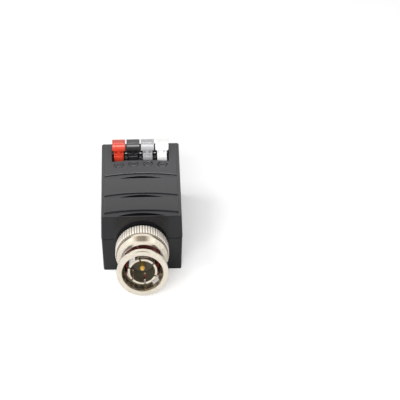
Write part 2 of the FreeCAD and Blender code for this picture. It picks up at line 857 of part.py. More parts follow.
centre_pin = new_body("centre_pin")
cup_end = insulator_rear - s.solder_cup_length
turned(centre_pin, "turning", [
    (0, cup_end),
    (s.solder_cup_radius, cup_end),
    (s.solder_cup_radius, insulator_rear - s.insulator_clearance),
    (pin_body_radius, insulator_rear - s.insulator_clearance),
    (pin_body_radius, insulator_front),
    (s.pin_radius, insulator_front),
    (s.pin_radius, pin_front - s.pin_tip_length),
    (s.pin_tip_radius, pin_front),
    (0, pin_front),
])
place_on_plug_axis(centre_pin)

gasket = new_body("gasket")
turned(gasket, "ring", [
    (s.sleeve_radius + s.insulator_clearance, seat_front),
    (seat_radius, seat_front),
    (seat_radius, seat_front + s.gasket_length),
    (s.sleeve_radius + s.insulator_clearance, seat_front + s.gasket_length),
])
place_on_plug_axis(gasket)

# Thrust washer on the plug body's neck, and the wave spring between it and the collar

washer_rear = nut_rear + s.nut_lip + s.washer_play
washer_front = washer_rear + s.washer_thickness
washer_radius = chamber_radius - s.washer_side_gap
thrust_washer = new_body("thrust_washer")
turned(thrust_washer, "ring", [
    (neck_radius + s.washer_clearance, washer_rear),
    (washer_radius, washer_rear),
    (washer_radius, washer_front),
    (neck_radius + s.washer_clearance, washer_front),
])
place_on_plug_axis(thrust_washer)


def wave_ring():
    """Flat strip round the plug's axis that rises and falls, in short straight steps."""
    radii = (neck_radius + s.wave_inner_gap).value, (chamber_radius - s.wave_outer_gap).value
    base = (washer_front + s.spring_play).value
    thickness = s.wave_thickness.value
    rise = s.wave_height.value - thickness
    steps = int(s.wave_steps.value)
    corners = []
    for step in range(steps):
        angle = 2 * math.pi * step / steps
        low = base + rise * (1 + math.cos(s.wave_count.value * angle)) / 2
        section = [(radii[0], low), (radii[1], low), (radii[1], low + thickness),
                   (radii[0], low + thickness)]
        corners.append([Vector(radius * math.cos(angle), radius * math.sin(angle), height)
                        for radius, height in section])
    faces = []
    for step in range(steps):
        here, following = corners[step], corners[(step + 1) % steps]
        for side in range(4):
            near, far = here[side], here[(side + 1) % 4]
            near_next, far_next = following[side], following[(side + 1) % 4]
            faces.append(Part.Face(Part.makePolygon([near, far, near_next, near])))
            faces.append(Part.Face(Part.makePolygon([far, far_next, near_next, far])))
    ring = Part.Solid(Part.Shell(faces))
    return ring if ring.Volume > 0 else ring.reversed()


wave_spring = doc.addObject("Part::Feature", "wave_spring")
wave_spring.Label = "wave_spring"
wave_spring.Shape = wave_ring()
place_on_plug_axis(wave_spring)

# Coupling nut: turned blank with two keyways, then the knurl and the two bayonet slots

knurl_rear = nut_rear + s.knurl_chamfer
knurl_front = nut_rear + s.knurl_length
slope_rear = knurl_front + s.shoulder_length
slope_front = slope_rear + s.slope_length
chamber_front = collar_front + s.nut_chamber_room
bayonet_entry = nut_front - s.bayonet_entry
bayonet_lock = nut_front - s.bayonet_lock
nut_blank = new_body("nut_blank")
turned(nut_blank, "turning", [
    (plug_hole_radius, nut_rear),
    (shoulder_radius - s.knurl_chamfer, nut_rear),
    (shoulder_radius, knurl_rear),
    (knurl_radius, knurl_rear),
    (knurl_radius, knurl_front),
    (shoulder_radius, knurl_front),
    (shoulder_radius, slope_rear),
    (waist_radius + s.slope_knee_height, slope_rear + s.slope_knee_length),
    (waist_radius, slope_front),
    (waist_radius, nut_front - s.ring_length),
    (ring_radius, nut_front - s.ring_length),
    (ring_radius, nut_front - s.ring_chamfer),
    (ring_radius - s.ring_chamfer, nut_front),
    (nut_bore_radius + s.mouth_flare, nut_front),
    (nut_bore_radius, nut_front - s.mouth_depth),
    (nut_bore_radius, chamber_front),
    (chamber_radius, chamber_front),
    (chamber_radius, nut_rear + s.nut_lip),
    (plug_hole_radius, nut_rear + s.nut_lip),
])
keyway = pocket(nut_blank, "keyway", "XY", bayonet_entry, nut_front + 1,
                [rectangle(0, keyway_radius, -s.keyway_width / 2, s.keyway_width / 2)])
keyway_sketch = doc.getObject("keyway_sketch")
bind(keyway_sketch, "AttachmentOffset.Rotation.Angle", s.bayonet_entry_angle)
keyway_sketch.AttachmentOffset.Rotation.Axis = Vector(0, 0, 1)
around(nut_blank, "keyways", keyway, 2)


def knurl_cutter():
    """Ring that leaves a star of straight ridges on the rear band."""
    peak = knurl_radius.value
    valley = knurl_valley.value
    length = (knurl_front - knurl_rear).value
    ridges = int(s.knurl_count.value)
    points = []
    for step in range(2 * ridges + 1):
        radius = peak if step % 2 == 0 else valley
        angle = math.pi * (step % (2 * ridges)) / ridges
        points.append(Vector(radius * math.cos(angle), radius * math.sin(angle), knurl_rear.value))
    star = Part.Face(Part.makePolygon(points))
    band = Part.makeCylinder(peak + 1, length, Vector(0, 0, knurl_rear.value))
    return band.cut(star.extrude(Vector(0, 0, length)))


def bayonet_cutter(turn):
    """Helical slot through the waist, from the keyway to a round detent, turned about the axis."""
    swing = s.bayonet_entry_angle.value - s.bayonet_lock_angle.value
    fall = (bayonet_entry - bayonet_lock).value
    inner = (s.sleeve_radius.value + nut_bore_radius.value) / 2
    outer = ring_radius.value
    half = s.bayonet_width.value / 2
    helix = Part.makeHelix(fall * 360 / swing, fall, inner)
    profile = Part.makePolygon([
        Vector(inner, 0, -half),
        Vector(outer, 0, -half),
        Vector(outer, 0, half),
        Vector(inner, 0, half),
        Vector(inner, 0, -half),
    ])
    slot = Part.Wire(helix).makePipeShell([profile], True, True)
    ends = [(0.0, 0.0), (0.0, s.bayonet_detent.value), (swing, fall)]
    for angle, height in ends:
        drill = Part.makeCylinder(half, outer - inner, Vector(inner, 0, height), Vector(1, 0, 0))
        drill.rotate(Vector(0, 0, 0), Vector(0, 0, 1), angle)
        slot = slot.fuse(drill)
    slot.rotate(Vector(0, 0, 0), Vector(0, 0, 1), s.bayonet_lock_angle.value + turn)
    slot.translate(Vector(0, 0, bayonet_lock.value))
    return slot


nut_cutters = doc.addObject("Part::Feature", "nut_cutters")
nut_cutters.Shape = Part.makeCompound([knurl_cutter(), bayonet_cutter(0), bayonet_cutter(180)])
coupling_nut = doc.addObject("Part::Cut", "coupling_nut")
coupling_nut.Label = "coupling_nut"
coupling_nut.Base = nut_blank
coupling_nut.Tool = nut_cutters
place_on_plug_axis(coupling_nut)

# Signal lead, a bent strip from the pin's solder cup to the board, and the plug's ground post

lead_start = front - cup_end
bend_start = lead_start + s.lead_run
lead_low = plug_axis_height - s.lead_thickness / 2
lead_high = lead_low + s.lead_thickness
inner_bend = s.lead_bend - s.lead_thickness
lead_down = bend_start + s.lead_bend
signal_lead = new_body("signal_lead")
pad(signal_lead, "strip", "YZ", -s.lead_width / 2, s.lead_width / 2, [[
    (lead_start, lead_low),
    (bend_start, lead_low, -inner_bend),
    (bend_start + inner_bend, lead_low - inner_bend),
    (bend_start + inner_bend, board_top),
    (lead_down, board_top),
    (lead_down, lead_high - s.lead_bend, s.lead_bend),
    (bend_start, lead_high),
    (lead_start, lead_high),
]])

ground_post = doc.addObject("Part::Cylinder", "ground_post")
ground_post.Label = "ground_post"
bind(ground_post, "Radius", s.ground_post_radius)
bind(ground_post, "Height", plug_axis_height - tail_radius - board_top)
place(ground_post, 0, front - flange_rear + s.ground_post_from_flange, board_top)

# Parts on the board: ferrite core with its winding, surge arrester, capacitor and fuse

balun_core = new_body("balun_core")
turn_reach = s.core_radius + s.turn_clearance + s.turn_wire
core_bottom = board_top + s.turn_wire + s.turn_clearance
core_x = s.part_margin + turn_reach - board_half
core_y = lead_down + s.core_gap + turn_reach
pad(balun_core, "ring", "XY", core_bottom, core_bottom + s.core_height, [],
    [(core_x, core_y, s.core_radius), (core_x, core_y, s.core_bore_radius)])


def winding_turns():
    """Square turns of wire set round the core."""
    wire = s.turn_wire.value
    gap = s.turn_clearance.value
    inner = s.core_bore_radius.value - gap
    width = s.core_radius.value + gap - inner
    height = s.core_height.value + 2 * gap
    turns = []
    count = int(s.turn_count.value)
    for turn in range(count):
        outside = Part.makeBox(width + 2 * wire, wire, height + 2 * wire,
                               Vector(inner - wire, -wire / 2, -wire))
        inside = Part.makeBox(width, 2 * wire, height, Vector(inner, -wire, 0))
        loop = outside.cut(inside)
        loop.rotate(Vector(0, 0, 0), Vector(0, 0, 1), 360 * turn / count)
        loop.translate(Vector(core_x.value, core_y.value, core_bottom.value - gap))
        turns.append(loop)
    return Part.makeCompound(turns)


balun_winding = doc.addObject("Part::Feature", "balun_winding")
balun_winding.Label = "balun_winding"
balun_winding.Shape = winding_turns()

surge_arrester = doc.addObject("Part::Cylinder", "surge_arrester")
surge_arrester.Label = "surge_arrester"
bind(surge_arrester, "Radius", s.arrester_radius)
bind(surge_arrester, "Height", s.arrester_length)
surge_arrester.Placement.Rotation = FreeCAD.Rotation(Vector(1, 0, 0), 90)
arrester_rear = front - tail_end + s.tail_gap + s.arrester_length
place(surge_arrester, board_half - s.part_margin - s.arrester_radius, arrester_rear,
      board_top + s.arrester_radius)

capacitor = new_body("capacitor")
turned(capacitor, "can", [
    (0, 0),
    (s.can_radius, 0),
    (s.can_radius, s.can_height - s.can_edge),
    (s.can_radius - s.can_edge, s.can_height),
    (0, s.can_height),
])
can_y = arrester_rear + s.can_gap + s.can_radius
place(capacitor, board_half - s.part_margin - s.can_radius, can_y, board_top)

fuse = doc.addObject("Part::Cylinder", "fuse")
fuse.Label = "fuse"
bind(fuse, "Radius", s.fuse_radius)
bind(fuse, "Height", s.fuse_thickness)
fuse.Placement.Rotation = FreeCAD.Rotation(Vector(1, 0, 0), 90)
place(fuse, s.part_margin + s.fuse_radius - board_half,
      core_y + turn_reach + s.fuse_gap + s.fuse_thickness, board_top + s.fuse_radius)

# Checks, then one file for each piece

doc.recompute()
NODES = ["housing_top", "housing_bottom", "circuit_board", "network_socket", "terminal_block",
         "lever_axle", "plug_body", "plug_insulator", "centre_pin", "gasket", "thrust_washer",
         "wave_spring", "coupling_nut", "signal_lead", "ground_post", "balun_core",
         "balun_winding", "surge_arrester", "capacitor", "fuse"]
NODES += [f"socket_contact_{index + 1}" for index in range(CONTACTS)]
NODES += [f"lever_{colour}" for colour in LEVERS]
NODES += [f"clamp_spring_{index + 1}" for index in range(len(LEVERS))]
for item in doc.Objects:
    if "Invalid" in item.State or "Error" in item.State:
        raise RuntimeError(f"{item.Label} failed: {item.State}")
pieces = {item.Label: item for item in doc.Objects if item.Label in NODES}
for name in NODES:
    shape = pieces[name].Shape
    if shape.isNull() or not shape.isValid() or shape.Volume <= 0:
        raise RuntimeError(f"{name} is not a valid solid")
for name in NODES:
    pieces[name].Shape.exportStep(f"parts/{name}.step")
print(len(NODES), "pieces written")
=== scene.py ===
import json
import math

import bmesh
import bpy
from mathutils import Matrix, Vector


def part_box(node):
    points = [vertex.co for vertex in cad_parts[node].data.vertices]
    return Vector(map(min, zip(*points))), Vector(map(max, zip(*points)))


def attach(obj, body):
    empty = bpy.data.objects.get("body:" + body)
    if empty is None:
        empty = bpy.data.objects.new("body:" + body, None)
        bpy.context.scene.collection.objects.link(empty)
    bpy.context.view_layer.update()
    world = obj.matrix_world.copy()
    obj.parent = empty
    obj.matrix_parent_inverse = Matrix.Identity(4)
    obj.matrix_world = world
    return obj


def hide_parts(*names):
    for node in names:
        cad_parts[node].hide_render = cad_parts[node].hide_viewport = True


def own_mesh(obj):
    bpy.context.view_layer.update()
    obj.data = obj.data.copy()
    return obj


# Video balun: a black housing with a bayonet plug at the front, four push levers on the top at
# the rear and a network socket in the rear face. Pieces are modelled in millimetres and written
# to their meshes in metres. X is across, the plug points to -Y, +Z is up.

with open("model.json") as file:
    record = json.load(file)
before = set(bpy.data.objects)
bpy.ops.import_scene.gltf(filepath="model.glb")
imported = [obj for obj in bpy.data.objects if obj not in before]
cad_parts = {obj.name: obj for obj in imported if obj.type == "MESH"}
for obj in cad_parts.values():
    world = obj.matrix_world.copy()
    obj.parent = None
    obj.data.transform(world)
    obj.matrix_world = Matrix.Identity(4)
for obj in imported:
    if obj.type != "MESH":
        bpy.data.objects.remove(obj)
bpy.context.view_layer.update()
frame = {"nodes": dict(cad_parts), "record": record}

MM = 0.001
BODY_OF = {node: body for body, nodes in frame["record"]["behaviour"]["bodies"].items()
           for node in nodes}
LEVERS = ("red", "black", "grey", "white")


def box_mm(node):
    """Lowest and highest corner of a CAD node, in millimetres."""
    low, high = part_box(node)
    return low / MM, high / MM


# Places read from the frame, and where the knurl lies, counted from the nut's rear end

LID_LOW, LID_HIGH = box_mm("housing_top")
FRONT = LID_LOW.y
TOP = LID_HIGH.z
NUT_LOW, NUT_HIGH = box_mm("coupling_nut")
AXIS_HEIGHT = (NUT_LOW.z + NUT_HIGH.z) / 2
NUT_REAR = FRONT - NUT_HIGH.y
NUT_FRONT = FRONT - NUT_LOW.y
NUT_LENGTH = NUT_FRONT - NUT_REAR
KNURL_ENDS = (0.3, 4.3)


# Finishes

class Socket:
    """One output of a shader node. Sums and products of sockets add their Math nodes."""

    def __init__(self, finish, output):
        self.finish = finish
        self.output = output

    def math(self, operation, *others):
        values = dict(enumerate((self, *others)))
        return self.finish.node("ShaderNodeMath", {"operation": operation}, values)

    def reflected(self, operation, other):
        return self.finish.node("ShaderNodeMath", {"operation": operation}, {0: other, 1: self})

    def __add__(self, other):
        return self.math("ADD", other)

    def __radd__(self, other):
        return self.math("ADD", other)

    def __sub__(self, other):
        return self.math("SUBTRACT", other)

    def __rsub__(self, other):
        return self.reflected("SUBTRACT", other)

    def __mul__(self, other):
        return self.math("MULTIPLY", other)

    def __rmul__(self, other):
        return self.math("MULTIPLY", other)

    def __truediv__(self, other):
        return self.math("DIVIDE", other)

    def __pow__(self, other):
        return self.math("POWER", other)

    def __abs__(self):
        return self.math("ABSOLUTE")

    def between(self, low, high):
        """0 below low, 1 above high, and smooth between them."""
        ramp = {0: self, 1: low, 2: high, 3: 0.0, 4: 1.0}
        return self.finish.node("ShaderNodeMapRange", {"interpolation_type": "SMOOTHSTEP"}, ramp)

    def band(self, rise, fall):
        """1 between two soft edges, each given as where it starts and where it ends."""
        return self.between(*rise) * (1.0 - self.between(*fall))


class Finish:
    """A material's node tree."""

    def __init__(self, name, owner=None):
        self.material = owner or bpy.data.materials.new(name)
        self.material.use_nodes = True
        self.tree = self.material.node_tree
        self.tree.nodes.clear()

    def node(self, kind, settings=None, values=None, out=0):
        """Adds a node: its settings first, then the values or links of its sockets."""
        new = self.tree.nodes.new(kind)
        for key, setting in (settings or {}).items():
            setattr(new, key, setting)
        for key, value in (values or {}).items():
            if isinstance(value, Socket):
                self.tree.links.new(value.output, new.inputs[key])
            elif isinstance(value, tuple) and len(value) == 3 and new.inputs[key].type == "RGBA":
                new.inputs[key].default_value = (*value, 1.0)
            else:
                new.inputs[key].default_value = value
        return Socket(self, new.outputs[out]) if len(new.outputs) else None

    def place(self):
        """Where a point is on the piece, in metres."""
        return self.node("ShaderNodeTexCoord", out="Object")

    def parts(self, vector):
        """The three coordinates of a vector."""
        return [self.node("ShaderNodeSeparateXYZ", None, {"Vector": vector}, axis)
                for axis in range(3)]

    def noise(self, size, detail=2.0, roughness=0.5, where=None):
        """Soft clouds of about this size in millimetres, from 0 to 1."""
        values = {"Vector": where or self.place(), "Scale": 1 / (size * MM), "Detail": detail,
                  "Roughness": roughness}
        return self.node("ShaderNodeTexNoise", None, values, "Fac")

    def stretched(self, x=1.0, y=1.0, z=1.0):
        """The point's place with each direction scaled."""
        return self.node("ShaderNodeMapping", None, {"Vector": self.place(), "Scale": (x, y, z)})

    def mixed(self, factor, first, second):
        """The first colour where the factor is 0, the second where it is 1."""
        values = {0: factor, 6: first, 7: second}
        return self.node("ShaderNodeMix", {"data_type": "RGBA"}, values, 2)

    def surface(self, colour, roughness, metallic, height, depth):
        """The piece's one shader. height is a relief from 0 to 1, depth its size in mm."""
        relief = {"Height": height, "Strength": 1.0, "Distance": depth * MM}
        values = {"Base Color": colour, "Roughness": roughness, "Metallic": metallic,
                  "Normal": self.node("ShaderNodeBump", None, relief)}
        shader = self.node("ShaderNodeBsdfPrincipled", None, values)
        self.node("ShaderNodeOutputMaterial", None, {"Surface": shader})
        return self.material


BLACK = (0.0, 0.0, 0.0)
# how squarely a face looks along the plug's axis, for its polish and its painted shade
POLISH_AND_SHADE_EDGE = (0.3, 0.6)


def moulded(name, colour, lift, roughness, grain=0.16, relief=0.006, polish=0.0):
    """Moulded plastic: fine spark-eroded grain, faint clouds in colour and gloss. The faces
    across the plug's axis are polished by the given amount, and painted shade darkens their
    colour towards black."""
    f = Finish(name)
    clouds = f.noise(2.5, 3.0)
    fine = f.noise(grain, 3.0, 0.6)
    worn = f.noise(0.9, 4.0, 0.6)
    tint = f.mixed(clouds * 0.6 + fine * 0.4, colour, lift)
    gloss = roughness + (worn - 0.5) * 0.12 + (fine - 0.5) * 0.1
    if not polish:
        return f.surface(tint, gloss, 0.0, fine, relief)
    ahead = f.parts(f.node("ShaderNodeTexCoord", out="Normal"))[1]
    smooth = (ahead * ahead).between(*POLISH_AND_SHADE_EDGE)
    # painted shade: the colour of faces across the plug's axis is darkened towards black
    tint = f.mixed(smooth * 0.6, tint, BLACK)
    return f.surface(tint, gloss - smooth * polish, 0.0, fine * (1.0 - smooth * 0.6), relief)


# Zones of the plated pieces. Those along the plug's axis are counted from the nut's rear end, the
# others are distances from the axis. A soft edge is given as where it starts and where it ends.

KNURL_EDGE = (KNURL_ENDS[1], KNURL_ENDS[1] + 0.1)
SLOT_ZONE = ((6.9, 7.1), (11.6, 11.8))
SHAFT_EDGE = (10.7, 11.1)
SHAFT_RADIUS = (1.2, 1.3)
BORE_ZONE = ((2.9, 3.0), (3.36, 3.44))
SLEEVE_ZONE = ((4.04, 4.09), (4.5, 4.6))
NUT_INSIDE = (4.6, 4.7)
MOUTH_EDGE = (5.46, 5.66)
SLOT_WALL_EDGE = (6.0, 6.03)
GROOVE_ZONE = ((6.9, 7.0), (7.1, 7.26))
KEYWAY_EDGE = (1.5, 1.75)
UPPER_HALF = (0.0, 0.5)

SATIN = (0.96, 0.91, 0.83)
# painted shade in the knurl's grooves
GROOVE_SHADE = (0.2, 0.165, 0.13)
# painted shade inside the nut's mouth, with warm blotches of painted reflection
MOUTH_SHADE = (0.14, 0.12, 0.09)
MOUTH_REFLECTION = (0.72, 0.56, 0.34)
# dark red painted shade on the walls of the nut's upper slot
SLOT_SHADE = (0.12, 0.035, 0.03)
# painted shade in the sleeve's bore
BORE_SHADE = (0.33, 0.30, 0.22)
SHAFT_SHADE = (0.05, 0.03, 0.008)
# painted shade on the sleeve inside the nut
SLEEVE_SHADE = (0.22, 0.18, 0.12)
# painted highlight: whiter plate on the sleeve where light comes in under the keyways
KEYWAY_LIT_PLATE = (0.97, 0.96, 0.94)


def plated(name, colour, stain, roughness, metal=0.85, marks=0.0012):
    """Plated metal: fine turning marks round the plug's axis, faint stains, a satin knurl with
    grooves darkened by painted shade. The nut's mouth carries painted shade with warm painted
    reflections, the walls of its upper slot dark red painted shade, and the sleeve's bore and the
    root of the pin painted shade. So does the sleeve, except under the keyways, where it is
    painted whiter and more diffuse as a painted highlight."""
    f = Finish(name)
    clouds = f.noise(1.4, 4.0, 0.6)
    lines = f.noise(0.05, 2.0, 0.5, f.stretched(0.08, 1.0, 0.08))
    specks = f.noise(0.25, 3.0, 0.6)
    x, y, z = f.parts(f.place())
    height = z - AXIS_HEIGHT * MM
    radius = ((x * x + height ** 2) ** 0.5) / MM
    along = (FRONT - NUT_REAR) - y / MM

    knurl = 1.0 - along.between(*KNURL_EDGE)
    slotted = along.band(*SLOT_ZONE)
    keyless = (abs(x + height) / MM).between(*KEYWAY_EDGE)
    mouth = (1.0 - radius.between(*MOUTH_EDGE)) * keyless * (1.0 - slotted)
    upper = (height / MM).between(*UPPER_HALF)
    slot_walls = (1.0 - radius.between(*SLOT_WALL_EDGE)) * slotted * upper
    inside = (mouth + slot_walls) * radius.between(*NUT_INSIDE)
    shaft = (1.0 - along.between(*SHAFT_EDGE)) * (1.0 - radius.between(*SHAFT_RADIUS))
    sleeve = radius.band(*SLEEVE_ZONE)
    # painted highlight where the keyways let light onto the sleeve
    keyway_lit = sleeve * (1.0 - keyless)

    # painted shade and painted reflection in the mouth, dark red painted shade on the upper
    # slot's walls
    mouth_and_slot_shade = f.mixed(clouds.between(0.47, 0.62), MOUTH_SHADE, MOUTH_REFLECTION)
    mouth_and_slot_shade = f.mixed(slotted, mouth_and_slot_shade, SLOT_SHADE)
    tint = f.mixed(clouds.between(0.4, 0.8), colour, stain)
    # coats over the plating: a satin knurl, then painted shade, painted reflection and painted
    # highlight
    for factor, coat in (
            (knurl * 0.6, SATIN),
            (knurl * radius.band(*GROOVE_ZONE), GROOVE_SHADE),
            (inside, mouth_and_slot_shade),
            (radius.band(*BORE_ZONE), BORE_SHADE),
            (shaft * 0.7, SHAFT_SHADE),
            (sleeve * keyless * 0.75, SLEEVE_SHADE),
            (keyway_lit, KEYWAY_LIT_PLATE)):
        tint = f.mixed(factor, tint, coat)

    gloss = roughness + (clouds - 0.5) * 0.12 + (specks - 0.5) * 0.08 + knurl * 0.2 + keyway_lit * 0.3
    metallic = metal - knurl * 0.6 - keyway_lit * 0.7
    return f.surface(tint, gloss, metallic, lines * 0.6 + specks * 0.4, marks)


def plain_metal(name, colour, roughness):
    """Drawn metal with faint lines along each piece."""
    f = Finish(name)
    clouds = f.noise(0.8, 3.0)
    lines = f.noise(0.06, 2.0, 0.5, f.stretched(0.1, 1.0, 1.0))
    tint = f.mixed(clouds, colour, tuple(0.82 * part for part in colour))
    return f.surface(tint, roughness + (clouds - 0.5) * 0.15, 1.0, lines, 0.001)


def laminate(name):
    """Glass-fibre board with the weave under its green mask."""
    f = Finish(name)
    weave = f.node("ShaderNodeTexWave", {"bands_direction": "X"},
                   {"Vector": f.place(), "Scale": 900.0, "Distortion": 1.0}, "Fac")
    tint = f.mixed(weave, (0.01, 0.10, 0.03), (0.02, 0.16, 0.05))
    return f.surface(tint, 0.35 + weave * 0.1, 0.0, weave, 0.004)


def glossy_plastic(name, colour, lift):
    """The levers' plastic, smoother than the housing's."""
    return moulded(name, colour, lift, 0.3, 0.3, 0.003)


# Each finish by the name of its slot in the record

FINISHES = {
    # the housing's faces across the plug's axis get polish and painted shade
    "housing_plastic": moulded(
        "housing_black", (0.0075, 0.0085, 0.011), (0.013, 0.0145, 0.018), 0.42, polish=0.2),
    "socket_plastic": moulded(
        "socket_black", (0.012, 0.012, 0.012), (0.02, 0.02, 0.02), 0.38, 0.1),
    "block_plastic": moulded(
        "block_black", (0.004, 0.004, 0.0045), (0.007, 0.007, 0.0075), 0.6, 0.1),
    "insulator_plastic": moulded(
        "insulator_dark", (0.075, 0.066, 0.048), (0.10, 0.088, 0.064), 0.45, 0.1),
    "gasket_rubber": moulded(
        "gasket_red", (0.26, 0.03, 0.022), (0.36, 0.05, 0.035), 0.45, 0.12),
    "ferrite": moulded(
        "ferrite_grey", (0.03, 0.03, 0.033), (0.06, 0.06, 0.065), 0.6, 0.2),
    "arrester_ceramic": moulded(
        "ceramic_pink", (0.6, 0.42, 0.38), (0.7, 0.5, 0.45), 0.4, 0.2),
    "capacitor_can": moulded(
        "sleeve_blue", (0.01, 0.03, 0.12), (0.015, 0.045, 0.17), 0.3, 0.3),
    "fuse_coating": moulded(
        "coating_yellow", (0.65, 0.42, 0.05), (0.75, 0.5, 0.08), 0.45, 0.3),
    "lever_plastic_red": glossy_plastic(
        "lever_red_plastic", (0.51, 0.036, 0.015), (0.58, 0.05, 0.02)),
    "lever_plastic_black": glossy_plastic(
        "lever_black_plastic", (0.012, 0.012, 0.013), (0.02, 0.02, 0.022)),
    "lever_plastic_grey": glossy_plastic(
        "lever_grey_plastic", (0.35, 0.35, 0.36), (0.40, 0.40, 0.41)),
    "lever_plastic_white": glossy_plastic(
        "lever_white_plastic", (0.82, 0.82, 0.80), (0.88, 0.88, 0.86)),
    "nickel_plate": plated("nickel_plating", (0.80, 0.74, 0.64), (0.70, 0.61, 0.47), 0.16),
    "gold_plate": plated("gold_plating", (0.95, 0.58, 0.14), (0.88, 0.48, 0.09), 0.3, 0.4),
    "contact_gold": plain_metal("contact_gold", (0.90, 0.62, 0.24), 0.25),
    # painted shade: the axle's steel is given a dark colour so it reads as shaded between the
    # levers
    "bright_steel": plain_metal("bright_steel", (0.13, 0.128, 0.125), 0.2),
    "spring_steel": plain_metal("spring_steel", (0.55, 0.54, 0.52), 0.28),
    "tinned_copper": plain_metal("tinned_copper", (0.65, 0.64, 0.62), 0.35),
    "enamelled_copper": plain_metal("enamelled_copper", (0.60, 0.22, 0.08), 0.3),
    "board_laminate": laminate("board_green"),
}


# Building a piece

def merged(node):
    """A merged copy of a CAD node's triangles, in millimetres, with its flat faces whole."""
    bm = bmesh.new()
    bm.from_mesh(frame["nodes"][node].data)
    bmesh.ops.scale(bm, vec=(1 / MM, 1 / MM, 1 / MM), verts=bm.verts)
    bmesh.ops.remove_doubles(bm, verts=bm.verts, dist=0.001)
    bmesh.ops.dissolve_limit(bm, angle_limit=math.radians(0.5), verts=bm.verts, edges=bm.edges)
    return bm


def outward(bm):
    """Turns the faces of a closed solid to the outside."""
    bmesh.ops.recalc_face_normals(bm, faces=bm.faces)
    if bm.calc_volume(signed=True) < 0:
        bmesh.ops.reverse_faces(bm, faces=bm.faces)
    return bm


def eased(bm, width, segments=2, sharp=30, wanted=None):
    """Rounds the sharp outer edges."""
    edges = [edge for edge in bm.edges
             if len(edge.link_faces) == 2 and edge.is_convex
             and edge.calc_face_angle() > math.radians(sharp)
             and (wanted is None or wanted(edge))]
    bmesh.ops.bevel(bm, geom=edges, offset=width, offset_type="OFFSET", segments=segments,
                    profile=0.5, affect="EDGES", clamp_overlap=False, material=-1)
    return bm


def turned(corners, steps=96):
    """Turns a closed outline about the plug's axis. A corner is radius, distance in front of
    the housing's front face, and the radius that rounds it."""
    bm = bmesh.new()
    bm.faces.new([bm.verts.new((radius, FRONT - ahead, AXIS_HEIGHT))
                  for radius, ahead, _ in corners])
    bm.verts.ensure_lookup_table()
    points = list(bm.verts)
    for ease in sorted({corner[2] for corner in corners} - {0}):
        chosen = [point for point, corner in zip(points, corners) if corner[2] == ease]
        bmesh.ops.bevel(bm, geom=chosen, offset=ease, offset_type="OFFSET", segments=3,
                        profile=0.5, affect="VERTICES", clamp_overlap=False, material=-1)
    bmesh.ops.delete(bm, geom=list(bm.faces), context="FACES_ONLY")
    bmesh.ops.spin(bm, geom=bm.verts[:] + bm.edges[:], cent=(0, 0, AXIS_HEIGHT), axis=(0, 1, 0),
                   angle=2 * math.pi, steps=steps, use_merge=True)
    bmesh.ops.remove_doubles(bm, verts=bm.verts, dist=0.001)
    on_axis = [edge for edge in bm.edges if edge.is_wire]
    bmesh.ops.delete(bm, geom=on_axis, context="EDGES")
    return outward(bm)


def as_object(name, bm):
    """Puts a finished mesh in the scene."""
    mesh = bpy.data.meshes.new(name)
    bm.to_mesh(mesh)
    bm.free()
    obj = bpy.data.objects.new(name, mesh)
    bpy.context.scene.collection.objects.link(obj)
    return obj


def carved(bm, cutters, solver="MANIFOLD"):
    """Takes the cutters out of a solid. MANIFOLD gives the same shape whatever order the mesh's
    elements come in, and that order can differ from run to run. It shades the lid's marks
    harder, so they alone are cut with EXACT."""
    solid = as_object("carving_blank", bm)
    tools = [as_object("carving_tool", cutter) for cutter in cutters]
    for tool in tools:
        cut = solid.modifiers.new("cut", "BOOLEAN")
        cut.operation = "DIFFERENCE"
        cut.solver = solver
        cut.object = tool
    bpy.context.view_layer.update()
    result = solid.evaluated_get(bpy.context.evaluated_depsgraph_get())
    whole = bmesh.new()
    whole.from_mesh(result.data)
    for spare in [solid, *tools]:
        bpy.data.meshes.remove(spare.data)
    return whole


def finished(name, bm, slot, node, smooth=32):
    """Writes the piece in metres, smooth up to its sharp edges, in place of its CAD node."""
    bmesh.ops.scale(bm, vec=(MM, MM, MM), verts=bm.verts)
    obj = as_object(name, bm)
    obj.data.materials.append(FINISHES[slot])
    obj.data.polygons.foreach_set("use_smooth", [True] * len(obj.data.polygons))
    obj.data.set_sharp_from_angle(angle=math.radians(smooth))
    weights = obj.modifiers.new("face_weights", "WEIGHTED_NORMAL")
    weights.keep_sharp = True
    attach(obj, BODY_OF[node])
    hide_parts(node)
    return obj


def block(low, high):
    """A box between two corners."""
    bm = bmesh.new()
    bmesh.ops.create_cube(bm, size=1.0)
    size = [far - near for near, far in zip(low, high)]
    middle = [(far + near) / 2 for near, far in zip(low, high)]
    bmesh.ops.scale(bm, vec=size, verts=bm.verts)
    bmesh.ops.translate(bm, vec=middle, verts=bm.verts)
    return bm


# Housing

MARK_RADIUS = 1.3
MARK_LINE = 0.26
MARK_DEPTH = 0.26
MARK_BAR = 0.72  # half a sign's length
MARK_Y = 8.15
OUTER_MARK_DROP = 0.63  # how much nearer to the plug the first and the last mark lie
CLEAR = 0.1  # how far a cutter stands out of the face that it cuts


def groove_ring(x, y):
    """Cutter for a round groove with sloping sides."""
    bm = bmesh.new()
    half = MARK_LINE / 2
    wide = half * 1.6
    points = [(MARK_RADIUS - wide, TOP + CLEAR), (MARK_RADIUS - half, TOP - MARK_DEPTH),
              (MARK_RADIUS + half, TOP - MARK_DEPTH), (MARK_RADIUS + wide, TOP + CLEAR)]
    verts = [bm.verts.new((x + reach, y, height)) for reach, height in points]
    edges = [bm.edges.new((verts[i], verts[(i + 1) % 4])) for i in range(4)]
    bmesh.ops.spin(bm, geom=verts + edges, cent=(x, y, 0), axis=(0, 0, 1), angle=2 * math.pi,
                   steps=48, use_merge=True)
    bmesh.ops.remove_doubles(bm, verts=bm.verts, dist=0.001)
    return outward(bm)


